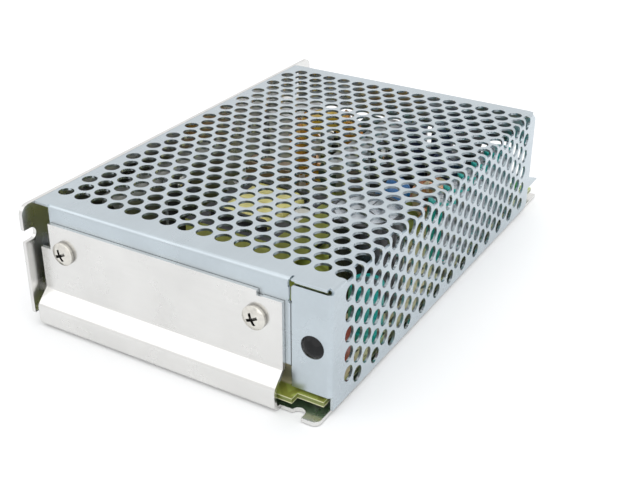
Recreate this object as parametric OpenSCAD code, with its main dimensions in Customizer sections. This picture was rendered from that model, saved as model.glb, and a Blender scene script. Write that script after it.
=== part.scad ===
// Enclosed switching power supply: flared chassis, perforated cover, fitted board and screw terminals.
// Millimetres. +Z up, +Y towards the terminals, origin at the middle of the underside.

/* [Enclosure] */
// Overall width over the long wall and the cover wall
body_w = 98; // [92:1:112]
// Overall length over the end panel and the terminal end
body_l = 159; // [150:1:180]
// Overall height from the underside to the top of the cover
body_h = 38; // [37:0.5:46]
// Thickness of the chassis sheet
chassis_t = 1.2; // [1:0.1:1.6]
// Thickness of the cover sheet
cover_t = 0.8; // [0.6:0.1:1]
// Inside radius of the chassis folds
chassis_fold_r = 1; // [0.6:0.1:1.4]
// Inside radius of the cover folds
cover_fold_r = 0.5; // [0.3:0.1:0.8]
// Gap between cover and chassis sheets that lie side by side
sheet_gap = 0.1; // [0.05:0.05:0.3]

/* [Chassis] */
// Height of the end panel
panel_h = 32.6; // [30:0.2:34]
// Height at which the end panel starts to slope inwards
flare_z = 6.8; // [5:0.2:8]
// How far the end panel steps inwards, at 45 degrees
flare_in = 4.2; // [3.4:0.1:5]
// Distance of the end panel from the long wall's outer face
panel_left = 3; // [2.6:0.1:4]
// Distance of the end panel from the cover wall's outer face
panel_right = 13.5; // [13:0.1:15]
// Width of the shoulder left of the panel's upper part
shoulder_w = 3.6; // [2:0.1:5]
// Height of the shoulder
shoulder_z = 24.4; // [20:0.2:28]
// Width of the lowered right part of the panel's top edge
lowered_w = 6.2; // [4:0.2:10]
// Drop of that lowered edge
lowered_drop = 1.3; // [0.6:0.1:2]
// Set-back of the long wall from the near end
wall_near = 0.3; // [0:0.1:1]
// Set-back of the long wall from the terminal end
wall_far = 2.7; // [2:0.1:4]
// Radius of the long wall's top corners
wall_corner_r = 3; // [1:0.2:5]
// Width of the open mounting notches
notch_w = 3.8; // [3.2:0.1:4.4]
// Depth of the open mounting notches
notch_depth = 4.4; // [3.4:0.1:5]
// Height of the notches in the long wall
notch_z = 28.7; // [24:0.1:31]
// Diameter of the tapped mounting holes
mount_d = 3; // [2.5:0.1:4]
// Distance of the floor's mounting holes across
mount_span_x = 65; // [55:1:70]
// Distance of the mounting holes along
mount_span_y = 120; // [100:1:126]
// Height of the long wall's mounting holes
mount_wall_z = 16; // [12:0.5:22]

/* [Cover] */
// Length of the cover
cover_l = 141.4; // [136:0.2:144]
// Height of the cover wall's lower edge
cover_lift = 1.6; // [1.4:0.1:2.5]
// Depth of the end flange, from the top
flange_h = 25.5; // [22:0.5:28]
// Distance of the end flange from the cover's left edge
flange_left = 5; // [3:0.2:8]
// Width of the corner tab that turns in from the cover wall
tab_w = 11.6; // [11:0.1:12.8]
// Height of the corner tab's lower edge
tab_z = 6; // [5.6:0.2:10]
// Slot that parts the flange and the tab, and the tab and the top
relief = 0.7; // [0.4:0.1:1]
// Width of the narrow gap below that slot
tab_gap = 0.25; // [0.2:0.05:0.4]
// Height at which the slot ends in a round hole
slot_z = 31.5; // [30:0.1:32.4]
// Depth of the flange at the terminal end, from the top
far_flange_h = 13.1; // [10:0.1:16]
// Reach of the locating tongue past the far edge
tongue_out = 8.8; // [4:0.2:9]
// Radius of the cover wall's far corners
cover_corner_r = 2.2; // [1:0.1:3]

/* [Ventilation] */
// Diameter of the holes
hole_d = 4.6; // [3.6:0.1:5]
// Distance of the holes in a row
hole_pitch = 6.1; // [5.8:0.1:7]
// Distance of the rows
row_pitch = 4.98; // [4.8:0.02:6]
// Distance of the first hole from the cover's left edge
vent_left = 3.4; // [3:0.1:6]
// Distance of the first row from the near edge
vent_near = 9.3; // [8:0.1:14]
// Least distance of the last row from the far edge
vent_far = 7.5; // [5:0.1:12]
// Least distance of the lowest hole from the wall's lower edge
vent_low = 3.5; // [3:0.1:6]

/* [Fasteners] */
// Shank diameter of the cover screws
cover_screw_d = 3.5; // [3:0.1:4]
// Distance of the first cover screw from the long wall's outer face
cover_screw_left = 12; // [10:0.2:16]
// Distance of the two cover screws
cover_screw_span = 64.5; // [50:0.5:66]
// Height of the cover screws
cover_screw_z = 24.8; // [20:0.2:28]
// Head diameter of the snap rivet
rivet_head_d = 6.8; // [5:0.1:8]
// Shank diameter of the snap rivet
rivet_d = 3.4; // [2.6:0.1:4]
// Height of the snap rivet
rivet_z = 20; // [14:0.2:24]
// Thread diameter of the board screws
board_screw_d = 3; // [2.5:0.1:3.5]
// Radial room of shanks and rotors in their holes
shank_gap = 0.05; // [0.03:0.01:0.1]

/* [Board] */
// Thickness of the circuit board
board_t = 1.6; // [1.2:0.1:2]
// Height of the board's stand-offs
standoff_h = 2; // [1.6:0.1:3]
// Diameter of the stand-offs
standoff_d = 5.5; // [5:0.1:7]
// Room between the board and the sheets beside it
board_gap = 1; // [0.6:0.1:1.4]
// Set-back of the board from the terminal end
board_far = 3; // [2.6:0.1:5]
// Thickness of the insulating sheet under the board
film_t = 0.3; // [0.2:0.05:0.5]
// Thickness of the earth bracket
bracket_t = 1; // [0.8:0.1:1.2]

/* [Terminals] */
// Number of screw terminals
terminal_n = 7;
// Room beside the terminals for the stand-off at the long wall
terminal_left = 9.2; // [9:0.1:11]
// Room beside the terminals for the trimmer, the lamp and the other stand-off
terminal_right = 16.7; // [16.6:0.1:18]
// Thickness of the barriers
barrier_t = 1.6; // [1.2:0.1:2]
// Height of the barriers above the board
barrier_h = 12; // [11.5:0.5:16]
// Height of the terminal base above the board
terminal_base_h = 6; // [5.6:0.1:6.4]
// Depth of the terminal block
terminal_depth = 14; // [13:0.2:15]
// Thread diameter of the terminal screws
terminal_screw_d = 3.4; // [3:0.1:4]
// Lift of the terminal screws
terminal_travel = 3; // [2:0.2:4]
// Thickness of the contact plates
contact_t = 0.8; // [0.6:0.1:1]
// Thickness of the clamp plates
clamp_t = 1; // [0.8:0.1:1.2]
// Side of the square clamp plates
clamp_w = 6.4; // [6:0.1:7]

/* [Power parts] */
// Width of the transformer core
core_w = 31; // [28:0.5:34]
// Height of the transformer core
core_h = 13.5; // [11:0.5:14]
// Height of the taped transformer winding
winding_h = 18.5; // [17.5:0.5:22]
// Diameter of the bulk capacitor
bulk_d = 22; // [18:0.5:23]
// Height of the bulk capacitor
bulk_h = 29.5; // [24:0.5:31]
// Diameter of the output capacitors
output_d = 10; // [8:0.5:11]
// Height of the output capacitors
output_h = 22; // [18:0.5:26]
// Number of output capacitors
output_n = 5;
// Height of the heatsinks above the board
sink_h = 27; // [24:0.5:29]
// Thickness of the heatsinks
sink_t = 2.5; // [2:0.1:3]
// Outer diameter of the ring choke's core
ring_d = 14; // [13:0.5:14.5]
// Wire thickness of the ring choke
wire_d = 1; // [0.8:0.1:1.1]
// Side of the trimmer body
trimmer_w = 6.8; // [6:0.1:7.2]
// Diameter of the trimmer's rotor
rotor_d = 4.6; // [4:0.1:5]

/* [Hidden] */
$fn = 40;
eps = 0.01;
half_w = body_w / 2;
half_l = body_l / 2;
fold_out = chassis_t + chassis_fold_r;
cover_out = cover_t + cover_fold_r;
// Ends of the folded wall and of the end panel
near_relief = flare_in + 2.3;
wall_relief_z = 3.8;
wall_y0 = -half_l + wall_near;
wall_y1 = half_l - wall_far;
fold_y0 = -half_l + near_relief;
floor_x1 = half_w - cover_t - sheet_gap;
panel_x0 = -half_w + panel_left;
panel_x1 = half_w - panel_right;
panel_y = -half_l + flare_in;
// Outline of the cover
cover_x0 = -half_w + chassis_t + sheet_gap;
cover_y0 = panel_y + chassis_t + sheet_gap;
cover_y1 = cover_y0 + cover_l;
cover_w = half_w - cover_x0;
flange_x0 = cover_x0 + flange_left;
tab_x0 = half_w - tab_w;
flange_x1 = tab_x0 - tab_gap;
far_flange_x = [cover_x0 + 1, half_w - cover_out - relief];
tab_top = body_h - cover_t - relief;
fold_loss = 0.75;
vent_depth = cover_out + 0.3;
rows = floor((cover_l - vent_near - vent_far) / row_pitch + eps) + 1;
vent_y0 = cover_y0 + vent_near;
wall_depth = body_h - cover_lift;
vent_max = cover_w + wall_depth - vent_low - fold_loss;
// Fastener places
cover_screw_x = [-half_w + cover_screw_left, -half_w + cover_screw_left + cover_screw_span];
cover_head_d = 2 * cover_screw_d;
cover_head_h = 0.62 * cover_screw_d;
rivet_x = half_w - tab_w / 2 + cover_out / 4;
// Board
board_z0 = chassis_t + standoff_h;
board_z1 = board_z0 + board_t;
board_x0 = -half_w + chassis_t + board_gap;
board_x1 = half_w - cover_t - board_gap;
board_y0 = -half_l + chassis_t + board_gap;
board_y1 = half_l - board_far;
board_w = board_x1 - board_x0;
board_l = board_y1 - board_y0;
board_step_x = floor_x1 - 8.7;
board_step = 2.9;
standoff_in = [5, 9];
collar_d = standoff_d - 1.2;
standoff_at = [for (x = [board_x0 + standoff_in.x, board_x1 - standoff_in.x],
                    y = [board_y0 + standoff_in.y, board_y1 - standoff_in.y]) [x, y]];
board_head_d = 1.9 * board_screw_d;
board_head_h = 0.6 * board_screw_d;
bracket_y0 = cover_y0 + cover_t + sheet_gap;
bracket_at = [board_x1 - standoff_in.x, board_y0 + standoff_in.y];
bracket_w = 8;
bracket_h = 20.4;
// Terminal block
block_x0 = board_x0 + terminal_left;
block_w = board_w - terminal_left - terminal_right;
terminal_pitch = (block_w - barrier_t) / terminal_n;
block_y1 = board_y1 - 0.4;
block_y0 = block_y1 - terminal_depth;
contact_z = board_z1 + terminal_base_h;
screw_y = block_y0 + 5.2;
terminal_x = [for (i = [0:terminal_n - 1]) block_x0 + barrier_t / 2 + (i + 0.5) * terminal_pitch];
terminal_head_d = 5.8;
terminal_head_h = 2.2;
terminal_shank = 6.4;
contact_fold_r = 0.4;
contact_drop = 4;
contact_end = 0.6;
contact_leg_x = 1.6;
contact_leg_w = 1;
contact_leg_lap = 3;
// Trimmer and lamp
trimmer_gap = 1.6;
trimmer_at = [block_x0 + block_w + trimmer_gap + trimmer_w / 2, board_y1 - trimmer_w / 2 - trimmer_gap];
trimmer_h = 4.4;
rotor_h = 2.4;
rotor_z = trimmer_h - rotor_h + 0.4;
lamp_d = 3;
lamp_h = 3.6;
lamp_at = [board_x1 - standoff_in.x, board_y1 - lamp_d];
// Parts on the board, at shares of its width and length
transformer_at = spot(0.397, 0.389);
choke_at = spot(0.301, 0.766);
bulk_at = spot(0.833, 0.353);
near_cap_at = spot(0.935, 0.238);
primary_at = spot(0.102, 0.340);
bridge_at = spot(0.786, 0.070);
thermistor_at = spot(0.407, 0.691);
varistor_at = spot(0.413, 0.876);
fuse_at = spot(0.056, 0.646);
disc_at = [spot(0.754, 0.538), spot(0.754, 0.579)];
ring_at = spot(0.793, 0.720);
drum_at = spot(0.820, 0.860);
film_cap_at = spot(0.230, 0.594);
snubber_at = spot(0.948, 0.142);
controller_at = spot(0.219, 0.125);
opto_at = spot(0.538, 0.165);
resistor_at = [for (i = [0:4]) spot(0.30 + 0.09 * i, 0.062)];
diode_at = [for (i = [0:2]) spot(0.30 + 0.075 * i, 0.160)];
output_at = [for (i = [0:output_n - 1])
  [board_x1 - output_d / 2 - 0.8, spot(0, 0.564 + 0.073 * i).y]];
// Transformer
core_leg = 5;
core_back = 5.5;
core_mid = 9;
core_window = 25;
core_l = 2 * core_back + core_window;
bobbin_wall = 1;
bobbin_flange = 1.2;
coil_l = core_l - 2 * core_back - 0.6;
coil_w = core_w - 2 * core_leg - 1;
coil_z = board_z1 + 1 + winding_h / 2;
bobbin_tube = [core_mid + 2 * bobbin_wall, core_h + 2 * bobbin_wall];
// Line choke
choke_d = 25;
choke_hole = 15;
choke_h = 9;
choke_wire = 1.2;
choke_turns = 8;
choke_step = 16;
choke_turned = 35;
choke_foot = 1.5;
choke_saddle = 8;
// Room between a ring and its turns
wire_gap = 0.1;
choke_z = board_z1 + choke_foot + choke_d / 2 + wire_gap + choke_wire;
// Sinks and the devices on them
primary_l = 54;
secondary_l = 44;
sink_turn = 7;
pad_t = 0.3;
device_w = 11;
device_h = 20;
device_body_h = 13;
device_t = 4.5;
device_tab_t = 1.3;
device_lift = 6;
device_hole_z = device_lift + 16.4;
device_screw_d = 3;
device_head_d = 5.4;
device_head_h = 1.9;
secondary_devices = [2, 15.2];
ring_h = 6;
ring_hole = 7.6;
ring_turns = 11;
ring_step = 360 / (ring_turns + 1);
ring_z = board_z1 + ring_d / 2 + wire_gap + wire_d;
fuse_d = 5;
fuse_l = 20;
fuse_lift = 2.2;
fuse_cap = 5;
film_margin = 1.5;
// Capacitors, discs and other board parts
near_cap_d = 10;
near_cap_h = 17;
box_cap_w = 12.5;
box_cap_l = 18;
box_cap_h = 22;
film_cap_w = 18;
film_cap_l = 7;
film_cap_h = 17;
snubber_w = 4;
snubber_l = 7;
snubber_h = 9;
disc_d = 9;
disc_t = 4;
disc_lift = 15;
thermistor_d = 13;
thermistor_t = 5;
thermistor_lift = 4;
varistor_d = 16;
varistor_t = 4.4;
varistor_lift = 7;
drum_d = 10;
drum_h = 25;
drum_rim = 2;
drum_turns = 8;
bridge_w = 20;
bridge_h = 14;
bridge_t = 3.6;
bridge_lift = 3;
controller_l = 9.8;
opto_l = 4.8;
resistor_d = 2.6;
resistor_l = 7;
rectifier_d = 3.4;
rectifier_l = 8;
// Row close behind the terminal block, at a gap from its contacts
box_cap_at = behind_block(0.081, 0.254, box_cap_l);
end_can_d = 10;
end_can_at = behind_block(0.588, 0.563, end_can_d);
slim_can_d = 8;
slim_can_at = behind_block(0.705, 0.794, slim_can_d);
// Place, diameter and height of each small can
small_caps = [[spot(0.745, 0.135), slim_can_d, 12], [spot(0.120, 0.108), slim_can_d, 12],
  [spot(0.785, 0.792), end_can_d, 19.5], [end_can_at, end_can_d, 24], [slim_can_at, slim_can_d, 26]];
// The secondary sink stands between the transformer and the end can, at a share of the free length
secondary_free = end_can_at.y - end_can_d / 2 - transformer_at.y - core_l / 2 - secondary_l;
secondary_share = 0.7164;
secondary_at = [spot(0.567, 0).x,
  transformer_at.y + core_l / 2 + secondary_share * secondary_free + secondary_l / 2];

// Place on the board's top face
function spot(u, v) = [board_x0 + u * board_w, board_y0 + v * board_l];
// Place behind the terminal block, at a share of the board's width
function behind_block(u, gap, depth) = [spot(u, 0).x, block_y0 - contact_t - gap - depth / 2];
function unit(v) = v / norm(v);
function turn(a, b) = atan2(cross(a, b), a * b);
function left_of(v) = [-v.y, v.x];

// One side of a sheet folded along the path of its middle plane, with arcs at the folds
function sheet_side(path, mid_r, side) = [
  for (i = [0:len(path) - 1])
    let (before = unit(path[max(i, 1)] - path[max(i, 1) - 1]),
         after = unit(path[min(i, len(path) - 2) + 1] - path[min(i, len(path) - 2)]),
         bend = turn(before, after),
         from = path[i] - before * mid_r * tan(abs(bend) / 2),
         centre = from + sign(bend) * mid_r * left_of(before),
         steps = abs(bend) < 1 ? 0 : 8)
      for (k = [0:steps])
        steps == 0 ? path[i] + side * left_of(before)
          : centre + (sign(bend) * side - mid_r) * sign(bend)
              * [cos(bend * k / steps) * left_of(before).x - sin(bend * k / steps) * left_of(before).y,
                 sin(bend * k / steps) * left_of(before).x + cos(bend * k / steps) * left_of(before).y]];
function reversed(list) = [for (i = [len(list) - 1:-1:0]) list[i]];

// Section of a folded sheet: path of the middle plane, thickness and inside radius
module folded_section(path, t, r) {
  polygon(concat(sheet_side(path, r + t / 2, t / 2), reversed(sheet_side(path, r + t / 2, -t / 2))));
}

// Section of a right-angled fold with its outer corner at the origin and its legs along +X and +Y
module right_fold(leg_x, leg_y, t, r) {
  translate([r + t, 0]) square([leg_x - r - t, t]);
  translate([0, r + t]) square([t, leg_y - r - t]);
  intersection() {
    square(r + t);
    translate([r + t, r + t]) difference() {
      circle(r = r + t);
      circle(r = r);
    }
  }
}

// Lay a flat section (x, z) along Y, or (y, z) along X
module along_y(y0, y1) translate([0, y1, 0]) rotate([90, 0, 0]) linear_extrude(y1 - y0) children();
module along_x(x0, x1) translate([x0, 0, 0]) rotate([90, 0, 90]) linear_extrude(x1 - x0) children();

// Box and rectangle from one corner to the other
module block(from, to) translate(from) cube(to - from);
module rect(from, to) translate(from) square(to - from);

// Rectangle about the origin with round corners
module rounded_rect(w, l, r) {
  square([w - 2 * r, l], center = true);
  square([w, l - 2 * r], center = true);
  for (x = [-1, 1], y = [-1, 1]) translate([x * (w / 2 - r), y * (l / 2 - r)]) circle(r = r);
}

// Waste outside a round corner at the origin, the sheet lying towards +X and -Y
module outer_corner(r) difference() {
  translate([-1, -r]) square([r + 1, r + 1]);
  translate([r, -r]) circle(r = r);
}

// Open slot with a round inner end, its mouth towards -Y
module open_notch(w, depth) {
  translate([0, depth - w / 2]) circle(d = w);
  translate([-w / 2, -1]) square([w, depth - w / 2 + 1]);
}

// Pan-head screw with its head's seat at the origin, shank along -Z and a cross recess
module pan_screw(d, length, head_d, head_h) {
  difference() {
    union() {
      translate([0, 0, -length]) cylinder(d = d, h = length + eps);
      cylinder(d = head_d, h = head_h / 2);
      translate([0, 0, head_h / 2]) intersection() {
        cylinder(d = head_d, h = head_h);
        translate([0, 0, head_h / 2 - dome_r(head_d, head_h / 2)])
          sphere(r = dome_r(head_d, head_h / 2), $fn = 64);
      }
    }
    for (a = [0, 90]) rotate(a) translate([-head_d * 0.26, -head_d * 0.06, head_h * 0.45])
      cube([head_d * 0.52, head_d * 0.12, head_h]);
  }
}
// Radius of a dome of this width and height
function dome_r(width, height) = (width * width / 4 + height * height) / (2 * height);

// Chassis: floor, long wall and flared end panel folded from one sheet
module chassis() color("gainsboro") difference() {
  union() {
    along_y(fold_y0, wall_y1) translate([-half_w, 0])
      right_fold(floor_x1 + half_w, body_h, chassis_t, chassis_fold_r);
    block([-half_w, wall_y0, wall_relief_z], [-half_w + chassis_t, fold_y0 + eps, body_h]);
    block([-half_w + fold_out, wall_y1 - eps, 0], [floor_x1, half_l, chassis_t]);
    along_x(panel_x0, panel_x1) folded_section(panel_path(), chassis_t, chassis_fold_r);
    linear_extrude(chassis_t) near_foot();
  }
  panel_cuts();
  wall_cuts();
  for (x = [-1, 1] * mount_span_x / 2, y = [-1, 1] * mount_span_y / 2)
    translate([x, y, -1]) cylinder(d = mount_d, h = chassis_t + 2);
  for (at = standoff_at) translate([at.x, at.y, -1])
    cylinder(d = collar_d + 2 * shank_gap, h = chassis_t + 2);
  for (x = [-1, 1] * (half_w - 8)) translate([x, half_l, -1]) rotate(180)
    linear_extrude(chassis_t + 2) open_notch(notch_w, notch_depth);
}
// Middle plane of the end panel, from the floor up over the flare
function panel_path() = let (mid = chassis_t / 2) [[fold_y0 + eps, mid], [-half_l + mid, mid],
  [-half_l + mid, flare_z], [panel_y + mid, flare_z + flare_in], [panel_y + mid, panel_h]];
// Corner foot with an open notch, beside the end panel
module near_foot() {
  foot_tip = -half_l + 0.5;
  foot_step = foot_tip + 2.1;
  foot_r = 2;
  notch_x = board_step_x + notch_w / 2;
  difference() {
    union() {
      rect([panel_x1 - eps, foot_step], [floor_x1 - foot_r, fold_y0 + eps]);
      rect([notch_x, foot_tip], [floor_x1 - foot_r, fold_y0 + eps]);
      rect([notch_x, foot_tip + foot_r], [floor_x1, fold_y0 + eps]);
      translate([floor_x1 - foot_r, foot_tip + foot_r]) circle(r = foot_r);
    }
    translate([notch_x, foot_tip - 1]) open_notch(notch_w, notch_depth + 0.3);
  }
}
// Shoulder, lowered edge, small nick beside it and screw holes of the end panel
module panel_cuts() {
  nick_w = 1.4;
  nick_h = 1.5;
  y0 = panel_y - 1;
  y1 = panel_y + chassis_t + 1;
  block([panel_x0 - 1, y0, shoulder_z], [panel_x0 + shoulder_w, y1, panel_h + 1]);
  block([panel_x1 - lowered_w, y0, panel_h - lowered_drop], [panel_x1 + 1, y1, panel_h + 1]);
  block([panel_x1 - lowered_w - nick_w, y0, panel_h - nick_h], [panel_x1 - lowered_w + eps, y1, panel_h + 1]);
  for (x = cover_screw_x) translate([x, y0, cover_screw_z]) rotate([-90, 0, 0])
    cylinder(d = cover_screw_d + 2 * shank_gap, h = chassis_t + 2);
}
// Round top corners, open notches and tapped holes of the long wall
module wall_cuts() {
  for (side = [0, 1]) translate([0, side == 0 ? wall_y0 : wall_y1, 0]) mirror([0, side, 0])
    along_x(-half_w - 1, -half_w + chassis_t + 1) {
      translate([0, notch_z]) rotate(-90) open_notch(notch_w, notch_depth);
      translate([0, body_h]) outer_corner(wall_corner_r);
    }
  for (y = [-1, 1] * mount_span_y / 2) translate([-half_w - 1, y, mount_wall_z]) rotate([0, 90, 0])
    cylinder(d = mount_d, h = chassis_t + 2);
}

// Cover: perforated top and side wall with end flanges, a corner tab and a locating tongue
module cover() color("lightsteelblue") difference() {
  union() {
    along_y(cover_y0 + cover_out, cover_y1 - cover_out) translate([half_w, body_h]) rotate(180)
      right_fold(cover_w, wall_depth, cover_t, cover_fold_r);
    block([cover_x0, cover_y0, body_h - cover_t], [flange_x0, cover_y0 + cover_out + eps, body_h]);
    block([tab_x0, cover_y0, body_h - cover_t], [half_w - cover_out, cover_y0 + cover_out + eps, body_h]);
    along_x(flange_x0, flange_x1) translate([cover_y0, body_h]) mirror([0, 1])
      right_fold(cover_out + eps, flange_h, cover_t, cover_fold_r);
    translate([half_w, cover_y0, tab_z]) mirror([1, 0, 0]) linear_extrude(tab_top - tab_z)
      right_fold(tab_w, cover_out + eps, cover_t, cover_fold_r);
    along_x(far_flange_x[0], far_flange_x[1]) translate([cover_y1, body_h]) rotate(180)
      right_fold(cover_out + eps, far_flange_h, cover_t, cover_fold_r);
    block([half_w - cover_t, cover_y1 - cover_out - eps, cover_lift],
      [half_w, cover_y1, body_h - cover_out]);
    along_x(half_w - cover_t, half_w) tongue();
  }
  vent_holes();
  relief_slot();
  along_y(cover_y0 - 1, cover_y0 + cover_t + 0.1) translate([tab_x0, tab_top]) outer_corner(1);
  for (low = [0, 1]) translate([0, cover_y1, low == 1 ? cover_lift : body_h - cover_out])
    mirror([0, 1, 0]) mirror([0, 0, low])
      along_x(half_w - cover_t - 1, half_w + 1) outer_corner(cover_corner_r);
  for (x = cover_screw_x) translate([x, cover_y0 - 1, cover_screw_z]) rotate([-90, 0, 0])
    cylinder(d = cover_screw_d + 2 * shank_gap, h = cover_t + 2);
  translate([rivet_x, cover_y0 - 1, rivet_z]) rotate([-90, 0, 0])
    cylinder(d = rivet_d + 2 * shank_gap, h = cover_t + 2);
}
// Slot that parts flange and tab, with a round end
module relief_slot() {
  slot_x = tab_x0 - relief / 2;
  block([slot_x - relief / 2, cover_y0 - 1, slot_z],
    [slot_x + relief / 2, cover_y0 + cover_out + relief, body_h + 1]);
  translate([slot_x, cover_y0 - 1, slot_z]) rotate([-90, 0, 0]) cylinder(d = 1.7 * relief, h = cover_t + 1.2);
}
// Tongue in the plane of the cover wall
module tongue() polygon([[cover_y1 - eps, cover_lift + 11.4], [cover_y1 + tongue_out, cover_lift + 7.7],
  [cover_y1 + tongue_out, cover_lift + 7.3], [cover_y1 - eps, cover_lift + 7.1]]);
// Staggered holes, laid out on the flat sheet and carried on round the long fold
module vent_holes() {
  for (row = [0:rows - 1]) {
    y = vent_y0 + row * row_pitch;
    for (d = [vent_left + (row % 2) * hole_pitch / 2 : hole_pitch : vent_max]) {
      if (d <= cover_w)
        translate([cover_x0 + d, y, body_h - vent_depth]) cylinder(d = hole_d, h = vent_depth + 1);
      else
        translate([half_w - vent_depth, y, body_h - (d + fold_loss - cover_w)]) rotate([0, 90, 0])
          cylinder(d = hole_d, h = vent_depth + 1);
    }
  }
}

// Two pan-head screws that hold the cover's flange to the end panel
module cover_screws() color("whitesmoke") for (x = cover_screw_x)
  translate([x, panel_y, cover_screw_z]) rotate([90, 0, 0]) rotate(25)
    pan_screw(cover_screw_d, chassis_t + cover_t + sheet_gap + 2, cover_head_d, cover_head_h);

// Snap rivet: domed head, shank through tab and bracket, flared end behind
module snap_rivet() color([0.12, 0.12, 0.13]) translate([rivet_x, cover_y0, rivet_z]) rotate([90, 0, 0])
  rotate_extrude() rivet_profile();
module rivet_profile() {
  grip = cover_t + sheet_gap + bracket_t;
  head_h = 1.7;
  translate([0, -grip - eps]) square([rivet_d / 2, grip + 2 * eps]);
  polygon([[0, -grip - 3.4], [rivet_d / 2 - 0.5, -grip - 3.4], [rivet_d / 2 + 0.5, -grip - 0.8],
    [rivet_d / 2 + 0.5, -grip], [0, -grip]]);
  intersection() {
    translate([0, head_h - dome_r(rivet_head_d, head_h)]) circle(r = dome_r(rivet_head_d, head_h), $fn = 64);
    square([rivet_head_d / 2, head_h]);
  }
}

// Circuit board, stepped back at the foot's notch
module pcb() color("olivedrab") difference() {
  block([board_x0, board_y0, board_z0], [board_x1, board_y1, board_z1]);
  block([board_step_x, board_y0 - 1, board_z0 - 1], [board_x1 + 1, board_y0 + board_step, board_z1 + 1]);
  for (at = standoff_at) translate([at.x, at.y, board_z0 - 1])
    cylinder(d = board_screw_d + 0.4, h = board_t + 2);
}
// Insulating sheet on the floor, cut round the stand-offs
module insulation_sheet() color("beige") difference() {
  block([board_x0 + film_margin, fold_y0 + film_margin, chassis_t],
        [board_x1 - film_margin, board_y1 - film_margin, chassis_t + film_t]);
  for (at = standoff_at) translate([at.x, at.y, chassis_t - 1])
    cylinder(d = standoff_d + 0.6, h = film_t + 2);
}
// Stand-offs with a collar clinched flush in the floor
module pcb_standoffs() color("silver") for (at = standoff_at) translate([at.x, at.y, 0]) difference() {
  union() {
    cylinder(d = collar_d, h = chassis_t + eps);
    translate([0, 0, chassis_t]) cylinder(d = standoff_d, h = standoff_h);
  }
  translate([0, 0, -1]) cylinder(d = board_screw_d + 2 * shank_gap, h = board_z0 + 2);
}
// Screws that hold the board, one of them through the earth bracket's foot
module pcb_screws() color("silver") for (at = standoff_at) {
  seat = board_z1 + (at == bracket_at ? bracket_t : 0);
  translate([at.x, at.y, seat]) pan_screw(board_screw_d, seat - chassis_t / 2, board_head_d, board_head_h);
}
// Earth bracket: foot under a board screw, upright behind the riveted tab
module earth_bracket() color("silver") difference() {
  along_x(rivet_x - bracket_w / 2, rivet_x + bracket_w / 2) translate([bracket_y0, board_z1])
    right_fold(bracket_at.y - bracket_y0 + board_head_d / 2 + 0.6, bracket_h, bracket_t, 0.6);
  translate([bracket_at.x, bracket_at.y, board_z1 - 1]) cylinder(d = board_screw_d + 0.4, h = bracket_t + 2);
  translate([rivet_x, bracket_y0 - 1, rivet_z]) rotate([-90, 0, 0])
    cylinder(d = rivet_d + 2 * shank_gap, h = bracket_t + 2);
}

// Terminal block: base, back wall and barriers between the bays
module terminal_block() color([0.13, 0.13, 0.14]) difference() {
  union() {
    block([block_x0, block_y0, board_z1], [block_x0 + block_w, block_y1, contact_z]);
    for (i = [0:terminal_n]) {
      x = block_x0 + i * terminal_pitch;
      block([x, block_y0, contact_z - eps], [x + barrier_t, block_y1, board_z1 + barrier_h]);
    }
  }
  for (x = terminal_x) {
    translate([x, screw_y, board_z1 + 0.8]) cylinder(d = terminal_screw_d + 0.4, h = terminal_base_h);
    block([x - clamp_w / 2, block_y1 - 1.2, board_z1 + 1.4],
      [x + clamp_w / 2, block_y1 + 1, contact_z - 1.6]);
    along_x(x - clamp_w / 2 - 0.1, x + clamp_w / 2 + 0.1) translate([block_y0, contact_z])
      outer_corner(contact_fold_r + 0.1);
  }
}
// Contact plates on the base, turned down over its back edge to the board
module terminal_contacts() color("lightgray") for (x = terminal_x) difference() {
  union() {
    along_x(x - clamp_w / 2, x + clamp_w / 2)
      translate([block_y0 - contact_t, contact_z + contact_t]) mirror([0, 1])
        right_fold(screw_y - block_y0 + contact_t + clamp_w / 2 + contact_end, contact_t + contact_drop,
          contact_t, contact_fold_r);
    for (leg = [-1, 1] * contact_leg_x)
      block([x + leg - contact_leg_w / 2, block_y0 - contact_t, board_z1],
        [x + leg + contact_leg_w / 2, block_y0, contact_z - contact_leg_lap]);
  }
  translate([x, screw_y, contact_z - 1]) cylinder(d = terminal_screw_d + 2 * shank_gap, h = contact_t + 2);
}
// One terminal screw
module terminal_screw(i) color("silver") at_clamp(i) translate([0, 0, clamp_t]) rotate(35 + 50 * i)
  pan_screw(terminal_screw_d, terminal_shank, terminal_head_d, terminal_head_h);
module at_clamp(i) translate([terminal_x[i], screw_y, contact_z + contact_t]) children();
// One square clamp plate, grooved underneath to grip the wire
module terminal_clamp(i) color("gainsboro") at_clamp(i) difference() {
  linear_extrude(clamp_t) rounded_rect(clamp_w, clamp_w, 0.6);
  translate([0, 0, -1]) cylinder(d = terminal_screw_d + 2 * shank_gap, h = clamp_t + 2);
  for (x = [-1, 1]) translate([x * clamp_w * 0.42 - 0.25, -clamp_w, -0.3]) cube([0.5, 2 * clamp_w, 0.6]);
}

// Ferrite core of the transformer: two outer legs, a middle leg and the backs
module transformer_core() color([0.16, 0.16, 0.17])
  translate([transformer_at.x, transformer_at.y, coil_z - core_h / 2]) linear_extrude(core_h) difference() {
    square([core_w, core_l], center = true);
    for (side = [-1, 1]) translate([side * (core_mid + core_w - 2 * core_leg) / 4, 0])
      square([(core_w - 2 * core_leg - core_mid) / 2, core_l - 2 * core_back], center = true);
  }
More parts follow.
